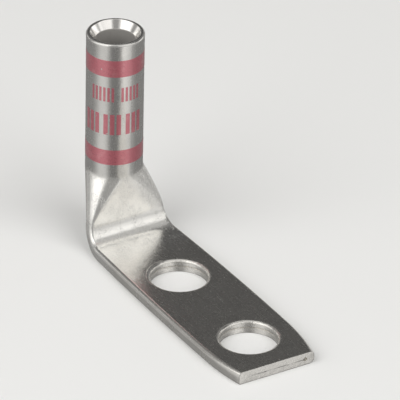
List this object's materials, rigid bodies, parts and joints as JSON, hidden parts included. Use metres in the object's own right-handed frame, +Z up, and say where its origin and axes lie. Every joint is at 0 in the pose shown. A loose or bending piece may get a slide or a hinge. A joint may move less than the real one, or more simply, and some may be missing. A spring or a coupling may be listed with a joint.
{
  "type": "two-hole compression lug",
  "caption": "Right-angle cable lug: a round crimp barrel pressed flat into a bent tongue with stud holes, for bolting a conductor to a plate or bar.",
  "frame": {"origin": "On the seating face under the tongue, midway between the two stud holes.", "axes": "+X runs along the tongue to its tip, +Y across the tongue, +Z up along the conductor barrel."},
  "size_m": [0.0412, 0.0122, 0.0271],
  "materials": {
    "tinned_copper": "satin"
  },
  "bodies": {
    "root": {"lug": "tinned_copper"}
  },
  "joints": []
}
